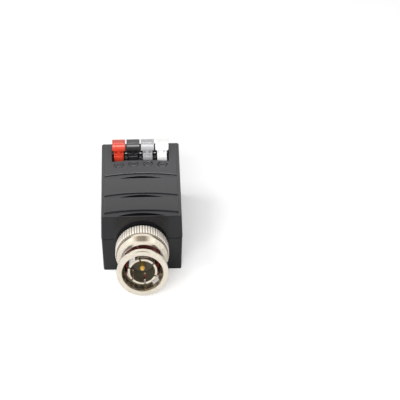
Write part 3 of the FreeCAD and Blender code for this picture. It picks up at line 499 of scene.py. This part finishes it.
def groove_bar(x, y, upright):
    """Cutter for a straight groove with sloping sides."""
    half = MARK_LINE / 2
    bm = block((-MARK_BAR, -half, TOP - MARK_DEPTH), (MARK_BAR, half, TOP + CLEAR))
    flare = half * 0.6
    for vert in bm.verts:
        if vert.co.z > TOP:
            vert.co.x += math.copysign(flare, vert.co.x)
            vert.co.y += math.copysign(flare, vert.co.y)
    if upright:
        bmesh.ops.rotate(bm, verts=bm.verts, matrix=Matrix.Rotation(math.pi / 2, 3, "Z"))
    bmesh.ops.translate(bm, vec=(x, y, 0), verts=bm.verts)
    return bm


def polarity_marks():
    """Engraved plus and minus signs in rings, one in front of each lever."""
    cutters = []
    for index, colour in enumerate(LEVERS):
        low, high = box_mm("lever_" + colour)
        x = (low.x + high.x) / 2
        y = MARK_Y - (OUTER_MARK_DROP if index in (0, 3) else 0)
        cutters.append(groove_ring(x, y))
        cutters.append(groove_bar(x, y, False))
        if index % 2 == 0:
            cutters.append(groove_bar(x, y, True))
    return cutters


PANEL_FOOT = TOP - 0.3
SEAM = 9.8
SEAM_EASE = 0.24


def level_with(edge, height, slack):
    """Whether an edge lies at a height."""
    return all(abs(vert.co.z - height) < slack for vert in edge.verts)


def on_seam(edge):
    """The lid's lower outer edge at the front and along the sides."""
    return level_with(edge, SEAM, 0.01) and all(
        abs(vert.co.x) > LID_HIGH.x - 0.4 or vert.co.y < FRONT + 0.4 for vert in edge.verts)


def free_edge(edge):
    """Edges that are neither a panel's foot nor part of the seam's rounding."""
    return edge.calc_length() > 0.1 and not (
        level_with(edge, PANEL_FOOT, 0.01) or level_with(edge, SEAM, SEAM_EASE + 0.02))


lid = eased(merged("housing_top"), SEAM_EASE, 2, 60, on_seam)
lid = eased(lid, 0.1, 3, 28, free_edge)
finished("housing_top_shell", carved(lid, polarity_marks(), "EXACT"), "housing_plastic",
         "housing_top")
finished("housing_bottom_shell", eased(merged("housing_bottom"), 0.1, 2, 40), "housing_plastic",
         "housing_bottom")

# Network socket and terminal block

finished("network_socket_body", eased(merged("network_socket"), 0.08, 2, 40), "socket_plastic",
         "network_socket")

LEDGE = 15.7  # height of the block's wall in front of the levers
BLOCK_LOW, BLOCK_HIGH = box_mm("terminal_block")
LEVER_FRONT = box_mm("lever_red")[0].y
above_ledge = block((BLOCK_LOW.x - 1, BLOCK_LOW.y - 1, LEDGE),
                    (BLOCK_HIGH.x + 1, LEVER_FRONT, BLOCK_HIGH.z + 1))
terminal_block = eased(carved(merged("terminal_block"), [above_ledge]), 0.08, 2, 40)
finished("terminal_block_body", terminal_block, "block_plastic", "terminal_block")

# Levers

AXLE_LOW, AXLE_HIGH = box_mm("lever_axle")
AXLE_CENTRE = (AXLE_LOW + AXLE_HIGH) / 2
WINDOW_SIDES = (0.47, 1.18)  # from the lever's middle
WINDOW_ENDS = (-1.5, 0.1)  # from the axle, along the housing
WINDOW_HEIGHTS = (0.6, 1.46)  # from the axle


def button(colour):
    """A lever with eased edges and a window on each side of its waist's middle bar. All four
    have one shape, so each is the grey one, moved across to its own place."""
    low, high = box_mm("lever_grey")
    axle_point = Vector(((low.x + high.x) / 2, AXLE_CENTRE.y, AXLE_CENTRE.z))
    near, far = WINDOW_SIDES
    windows = [block(axle_point + Vector((left, WINDOW_ENDS[0], WINDOW_HEIGHTS[0])),
                     axle_point + Vector((right, WINDOW_ENDS[1], WINDOW_HEIGHTS[1])))
               for left, right in ((-far, -near), (near, far))]
    bm = carved(eased(merged("lever_grey"), 0.12, 3, 35), windows)
    across = box_mm("lever_" + colour)[0].x - low.x
    bmesh.ops.translate(bm, vec=(across, 0, 0), verts=bm.verts)
    return bm


for colour in LEVERS:
    finished(f"lever_{colour}_button", button(colour), f"lever_plastic_{colour}",
             f"lever_{colour}")


def axle():
    """The steel pin that the levers turn on."""
    radius = (AXLE_HIGH.z - AXLE_LOW.z) / 2
    bm = bmesh.new()
    bmesh.ops.create_cone(bm, cap_ends=True, segments=40, radius1=radius, radius2=radius,
                          depth=AXLE_HIGH.x - AXLE_LOW.x,
                          matrix=Matrix.Rotation(math.pi / 2, 4, "Y"))
    bmesh.ops.translate(bm, vec=AXLE_CENTRE, verts=bm.verts)
    return eased(bm, 0.08, 2, 50)


finished("lever_axle_rod", axle(), "bright_steel", "lever_axle")

# Coupling nut. Distances along the axis are counted from the nut's rear end.

KNURL_RADIUS = (NUT_HIGH.x - NUT_LOW.x) / 2
KNURL_HEIGHT = 0.33
KNURL_VALLEY = KNURL_RADIUS - KNURL_HEIGHT
KNURL_COUNT = 60
STEPS_PER_RIDGE = 8
WAIST_RADIUS = 6.1
SLOPE_START = 5.6
SLOPE_LENGTH = 2.2
REAR_BORE = 4.6
SPRING_ROOM = 5.8  # radius of the hollow that holds the wave spring
SPRING_ROOM_ENDS = (1.2, 6.0)
NUT_BORE = 4.9
MOUTH_RADIUS = 5.68
MOUTH_DEPTH = 2.2
RING_RADIUS = 7.05
RING_LENGTH = 1.5
KEYWAY_WIDTH = 2.3
KEYWAY_RADIUS = 5.65
SLOT_WIDTH = 2.2
SLOT_ENTRY = 3.5
SLOT_LOCK = 4.5
SLOT_ENTRY_ANGLE = 135
SLOT_LOCK_ANGLE = 40
SLOT_DETENT = 0.3


def on_nut(corners):
    """Corners counted from the nut's rear end, counted from the housing's front face."""
    return [(radius, NUT_REAR + along, ease) for radius, along, ease in corners]


def ridge(angle):
    """Height of a knurl ridge at an angle, from 0 in the groove to 1 on its rounded crest."""
    turn = angle * KNURL_COUNT / (2 * math.pi)
    return abs(math.sin(math.pi * turn)) ** 0.55


def knurled(bm):
    """Raises the ridges on the rear band. Both ends of each ridge are chamfered."""
    rear_end, front_end = KNURL_ENDS
    centre = Vector((0, 0, AXIS_HEIGHT))
    for vert in bm.verts:
        across = Vector((vert.co.x, 0, vert.co.z)) - centre
        along = FRONT - vert.co.y - NUT_REAR
        if across.length < KNURL_VALLEY - 0.01 or not rear_end < along < front_end:
            continue
        angle = math.atan2(across.z, across.x) + math.pi / KNURL_COUNT / 2
        rise = min(KNURL_HEIGHT * ridge(angle), along - rear_end, front_end - along)
        vert.co = (centre + across.normalized() * (KNURL_VALLEY + rise)
                   + Vector((0, vert.co.y, 0)))
    return bm


def slot_cutters(turn):
    """Cutters for a bayonet slot, bent round the nut: a plate with round ends and a detent."""
    swing = math.radians(SLOT_ENTRY_ANGLE - SLOT_LOCK_ANGLE)
    reach = swing * WAIST_RADIUS
    entry, lock = NUT_LENGTH - SLOT_ENTRY, NUT_LENGTH - SLOT_LOCK
    inner, outer = NUT_BORE - 0.6, WAIST_RADIUS + 0.5
    slices = 40
    cutters = []
    for start, far_end in ((lock, (reach, entry - lock, 0)), (lock + SLOT_DETENT, (0, 0, 0))):
        bm = bmesh.new()
        bmesh.ops.create_circle(bm, cap_ends=True, segments=46, radius=SLOT_WIDTH / 2,
                                matrix=Matrix.Translation((0, start, inner)))
        bmesh.ops.translate(bm, vec=far_end, verts=[vert for vert in bm.verts if vert.co.x > 0])
        top = bmesh.ops.extrude_face_region(bm, geom=bm.faces[:])
        moved = [item for item in top["geom"] if isinstance(item, bmesh.types.BMVert)]
        bmesh.ops.translate(bm, vec=(0, 0, outer - inner), verts=moved)
        for index in range(1, slices):
            x = reach * index / slices
            bmesh.ops.bisect_plane(bm, geom=bm.verts[:] + bm.edges[:] + bm.faces[:],
                                   plane_co=(x, 0, 0), plane_no=(1, 0, 0))
        for vert in bm.verts:
            angle = math.radians(SLOT_LOCK_ANGLE + turn) + vert.co.x / WAIST_RADIUS
            radius, along = vert.co.z, vert.co.y
            vert.co = (radius * math.cos(angle), FRONT - NUT_REAR - along,
                       AXIS_HEIGHT + radius * math.sin(angle))
        cutters.append(outward(bm))
    return cutters


def swung(bm, degrees):
    """Turns a cutter made at the origin by an angle, and lifts it to the plug's axis."""
    bmesh.ops.rotate(bm, verts=bm.verts, matrix=Matrix.Rotation(-math.radians(degrees), 3, "Y"))
    bmesh.ops.translate(bm, vec=(0, 0, AXIS_HEIGHT), verts=bm.verts)
    return bm


def keyway_cutter(turn):
    """Cutter for the straight way from the nut's mouth to a slot."""
    mouth = FRONT - NUT_FRONT
    bm = block((0, mouth - 1, -KEYWAY_WIDTH / 2),
               (KEYWAY_RADIUS, mouth + SLOT_ENTRY, KEYWAY_WIDTH / 2))
    return swung(bm, SLOT_ENTRY_ANGLE + turn)


def coupling_nut():
    """The nut: knurl, hollow slope, waist with its slots, and the front ring round the mouth."""
    rear_end, front_end = KNURL_ENDS
    shoulder = KNURL_VALLEY - 0.03
    knurl_foot = KNURL_VALLEY + 0.005
    inset = 0.001
    parts = (0, 0.25, 0.5, 0.75, 1)  # of a ridge's chamfer
    rear_rings = [(knurl_foot, rear_end + KNURL_HEIGHT * part + inset, 0) for part in parts]
    front_rings = [(knurl_foot, front_end - KNURL_HEIGHT * (1 - part) - inset, 0)
                   for part in parts]
    drop = shoulder - WAIST_RADIUS
    hollow = (SLOPE_LENGTH ** 2 + drop ** 2) / (2 * drop)  # radius of the slope's curve
    tilt = math.asin(SLOPE_LENGTH / hollow)
    slope = [(WAIST_RADIUS + hollow * (1 - math.cos(tilt * part)),
              SLOPE_START + SLOPE_LENGTH - hollow * math.sin(tilt * part), 0)
             for part in (1.0, 0.85, 0.7, 0.55, 0.4, 0.25, 0.1, 0.0)]
    slope[0] = (*slope[0][:2], 0.12)
    ring_rear = NUT_LENGTH - RING_LENGTH
    room_rear, room_front = SPRING_ROOM_ENDS
    outline = [
        (REAR_BORE, 0.0, 0.1), (shoulder - 0.3, 0.0, 0.05), (shoulder, rear_end, 0),
        *rear_rings, *front_rings, (shoulder, front_end, 0), *slope,
        (WAIST_RADIUS, ring_rear, 0.08), (RING_RADIUS, ring_rear, 0.12),
        (RING_RADIUS, NUT_LENGTH - 0.15, 0.08), (RING_RADIUS - 0.15, NUT_LENGTH, 0.08),
        (MOUTH_RADIUS, NUT_LENGTH, 0.1), (NUT_BORE, NUT_LENGTH - MOUTH_DEPTH, 0.15),
        (NUT_BORE, room_front, 0.05), (SPRING_ROOM, room_front, 0.05),
        (SPRING_ROOM, room_rear, 0.05), (REAR_BORE, room_rear, 0.05),
    ]
    blank = knurled(turned(on_nut(outline), KNURL_COUNT * STEPS_PER_RIDGE))
    cutters = slot_cutters(0) + slot_cutters(180) + [keyway_cutter(0), keyway_cutter(180)]
    return carved(blank, cutters)


finished("coupling_nut_shell", coupling_nut(), "nickel_plate", "coupling_nut", smooth=38)

# Plug body and what is in it. Distances along the axis are counted from the housing's front face.

SLEEVE_RADIUS = 4.1
SLEEVE_BORE = 3.35
SLEEVE_SLOT_WIDTH = 0.5
SLEEVE_SLOT_LENGTH = 5.0
SLEEVE_SLOT_ANGLE = 39.5
TAIL_RADIUS = 3.9
FLANGE_RADIUS = 6.0
FLANGE_ENDS = (-2.8, -1.6)
NECK_RADIUS = 4.5
COLLAR_RADIUS = 5.5
COLLAR_ENDS = (4.15, 5.35)
SEAT_RADIUS = 4.6
SEAT_END = 7.15
PIN_RADIUS = 0.675
PIN_POINT = (0.9, 0.2)  # length of the pin's point, and the radius of its end
PIN_ROOT = 0.85
SOLDER_CUP = 1.0
INSULATOR_BORE = 0.88
GASKET_BORE = 4.13
WASHER_BORE = 4.58
WASHER_RADIUS = 5.6
WASHER_EASE = 0.06
PLAY = 0.03  # clearance between the plug's inner pieces
BODY_LOW, BODY_HIGH = box_mm("plug_body")
SLEEVE_FRONT = FRONT - BODY_LOW.y
TAIL_END = FRONT - BODY_HIGH.y
PIN_LOW, PIN_HIGH = box_mm("centre_pin")
PIN_FRONT = FRONT - PIN_LOW.y
PIN_REAR = FRONT - PIN_HIGH.y
INSULATOR_LOW, INSULATOR_HIGH = box_mm("plug_insulator")
INSULATOR_FRONT = FRONT - INSULATOR_LOW.y
INSULATOR_REAR = FRONT - INSULATOR_HIGH.y
GASKET_LOW, GASKET_HIGH = box_mm("gasket")
WASHER_LOW, WASHER_HIGH = box_mm("thrust_washer")


def plug_body():
    """Tail and flange inside the housing, neck, collar, gasket seat and the slotted sleeve."""
    flange_rear, flange_front = FLANGE_ENDS
    collar_rear, collar_front = COLLAR_ENDS
    outline = [
        (SLEEVE_BORE, TAIL_END, 0.08), (TAIL_RADIUS, TAIL_END, 0.1),
        (TAIL_RADIUS, flange_rear, 0.1), (FLANGE_RADIUS, flange_rear, 0.12),
        (FLANGE_RADIUS, flange_front, 0.12), (NECK_RADIUS, flange_front, 0.05),
        (NECK_RADIUS, collar_rear, 0.05), (COLLAR_RADIUS, collar_rear, 0.1),
        (COLLAR_RADIUS, collar_front, 0.1), (SEAT_RADIUS, collar_front, 0.05),
        (SEAT_RADIUS, SEAT_END, 0.05), (SLEEVE_RADIUS, SEAT_END, 0.05),
        (SLEEVE_RADIUS, SLEEVE_FRONT, 0.28), (SLEEVE_BORE, SLEEVE_FRONT, 0.22),
    ]
    reach, mouth = SLEEVE_RADIUS + 0.5, FRONT - SLEEVE_FRONT
    cutters = [swung(block((-reach, mouth - 1, -SLEEVE_SLOT_WIDTH / 2),
                           (reach, mouth + SLEEVE_SLOT_LENGTH, SLEEVE_SLOT_WIDTH / 2)),
                     SLEEVE_SLOT_ANGLE + turn)
               for turn in (0, 60, 120)]
    return carved(turned(outline, 144), cutters)


finished("plug_body_turning", plug_body(), "nickel_plate", "plug_body", smooth=38)
finished("plug_insulator_ring", turned([
    (INSULATOR_BORE, INSULATOR_REAR, 0.03), (SLEEVE_BORE - PLAY, INSULATOR_REAR, 0.1),
    (SLEEVE_BORE - PLAY, INSULATOR_FRONT, 0.12), (INSULATOR_BORE, INSULATOR_FRONT, 0.05),
]), "insulator_plastic", "plug_insulator")
finished("centre_pin_turning", turned([
    (0.0, PIN_REAR, 0), (SOLDER_CUP, PIN_REAR, 0.1), (SOLDER_CUP, INSULATOR_REAR - PLAY, 0.05),
    (PIN_ROOT, INSULATOR_REAR - PLAY, 0.02), (PIN_ROOT, INSULATOR_FRONT, 0.05),
    (PIN_RADIUS, INSULATOR_FRONT, 0.02), (PIN_RADIUS, PIN_FRONT - PIN_POINT[0], 0.15),
    (PIN_POINT[1], PIN_FRONT, 0.12), (0.0, PIN_FRONT, 0),
], 48), "gold_plate", "centre_pin")


def collar_ring(low, high, bore, rim, eases):
    """A flat ring round the plug between two distances along its axis. eases round its corners:
    rear bore, rear rim, front rim, front bore."""
    rear, front = FRONT - high.y, FRONT - low.y
    places = ((bore, rear), (rim, rear), (rim, front), (bore, front))
    return turned([(*place, ease) for place, ease in zip(places, eases)])


finished("gasket_ring",
         collar_ring(GASKET_LOW, GASKET_HIGH, GASKET_BORE, SEAT_RADIUS, (0.1, 0.15, 0.2, 0.15)),
         "gasket_rubber", "gasket")
finished("thrust_washer_ring",
         collar_ring(WASHER_LOW, WASHER_HIGH, WASHER_BORE, WASHER_RADIUS, (WASHER_EASE,) * 4),
         "spring_steel", "thrust_washer")

spring = finished("wave_spring_washer", merged("wave_spring"), "spring_steel", "wave_spring")
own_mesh(spring)

# Nodes that keep their CAD mesh

for node in frame["nodes"].values():
    for slot in node.material_slots:
        slot.material = FINISHES[slot.material.name]

# Floor, light and camera

CAMERA_DISTANCE = 700
CAMERA_ELEVATION = 30.419
CAMERA_YAW = 1.448
CAMERA_ROLL = 0.433
AIM = (16.562, 0.0, 9.810)
LENS = 223.23


def camera():
    """Looks down on the plug from the front."""
    data = bpy.data.cameras.new("camera")
    data.lens = LENS
    data.clip_start = 0.01
    data.clip_end = 50
    obj = bpy.data.objects.new("camera", data)
    bpy.context.scene.collection.objects.link(obj)
    yaw, elevation = math.radians(CAMERA_YAW), math.radians(CAMERA_ELEVATION)
    ahead = Vector((math.sin(yaw) * math.cos(elevation), math.cos(yaw) * math.cos(elevation),
                    -math.sin(elevation)))
    level = Vector((math.cos(yaw), -math.sin(yaw), 0))
    upward = level.cross(ahead)
    turn = Matrix((level, upward, -ahead)).transposed() @ Matrix.Rotation(
        -math.radians(CAMERA_ROLL), 3, "Z")
    place = Vector(AIM) - CAMERA_DISTANCE * ahead
    obj.matrix_world = Matrix.Translation(place * MM) @ turn.to_4x4()
    bpy.context.scene.camera = obj


def softbox(name, place, size, watts, target=(0, -0.01, 0.01)):
    """An area light in metres that metal doesn't mirror."""
    data = bpy.data.lights.new(name, "AREA")
    data.shape = "RECTANGLE"
    data.size, data.size_y = size
    data.energy = watts
    obj = bpy.data.objects.new(name, data)
    bpy.context.scene.collection.objects.link(obj)
    turn = (Vector(target) - Vector(place)).to_track_quat("-Z", "Y").to_matrix()
    obj.matrix_world = Matrix.Translation(place) @ turn.to_4x4()
    obj.visible_glossy = False
    return obj


def gleam():
    """A low strip over the nut that only metal mirrors."""
    obj = softbox("gleam_light", (0, 0.01, 0.045), (0.1, 0.028), 0.018, (0, 0.01, 0))
    obj.data.spread = math.radians(75)
    obj.visible_glossy = True
    obj.visible_diffuse = False
    obj.visible_camera = False


def paper_floor():
    """White paper. Seen straight it is a little paler than it lights the object."""
    bm = bmesh.new()
    bmesh.ops.create_grid(bm, x_segments=1, y_segments=1, size=3.0)
    floor = as_object("floor", bm)
    f = Finish("white_paper")
    seen = f.node("ShaderNodeLightPath", out="Is Camera Ray")
    shade = f.mixed(seen, (0.66, 0.66, 0.66), (0.75, 0.75, 0.75))
    paper = f.node("ShaderNodeBsdfDiffuse", None, {"Color": shade})
    glow = f.node("ShaderNodeEmission", None, {"Color": (1, 1, 1), "Strength": seen * 0.2 + 0.1})
    shader = f.node("ShaderNodeAddShader", None, {0: paper, 1: glow})
    f.node("ShaderNodeOutputMaterial", None, {"Surface": shader})
    floor.data.materials.append(f.material)


EVEN_LIGHT = (0.42, 0.42, 0.42)
HORIZON = (1.05, 1.03, 1.0)
CEILING = (0.16, 0.11, 0.07)
SIDE_BOX = (1.35, 1.32, 1.28)
TOWARDS_CAMERA = (-0.863, 0.506)  # its Y and Z


def studio_world():
    """Even pale light. Metal mirrors a dark warm ceiling between two bright soft boxes, and the
    dark of the room behind the camera."""
    world = bpy.data.worlds.new("studio")
    bpy.context.scene.world = world
    f = Finish("studio", world)
    x, y, z = f.parts(f.node("ShaderNodeTexCoord", out="Generated"))
    ceiling = f.mixed(z.between(0.72, 0.93), HORIZON, CEILING)
    boxes = abs(x).between(0.15, 0.7) * z.between(0.55, 0.75)
    mirrored = f.mixed(boxes, ceiling, SIDE_BOX)
    room = (y * TOWARDS_CAMERA[0] + z * TOWARDS_CAMERA[1]).between(0.86, 0.97)
    mirrored = f.mixed(room * 0.85, mirrored, BLACK)
    glossy = f.node("ShaderNodeLightPath", out="Is Glossy Ray")
    tint = f.mixed(glossy, EVEN_LIGHT, mirrored)
    shader = f.node("ShaderNodeBackground", None, {"Color": tint, "Strength": 1.0})
    f.node("ShaderNodeOutputWorld", None, {"Surface": shader})


camera()
paper_floor()
studio_world()
softbox("key_light", (-0.36, 0.03, 0.4), (0.36, 0.36), 1.25)
softbox("fill_light", (-0.1, -0.6, 0.35), (0.5, 0.3), 5.5)
gleam()
bpy.context.scene.view_settings.view_transform = "Standard"
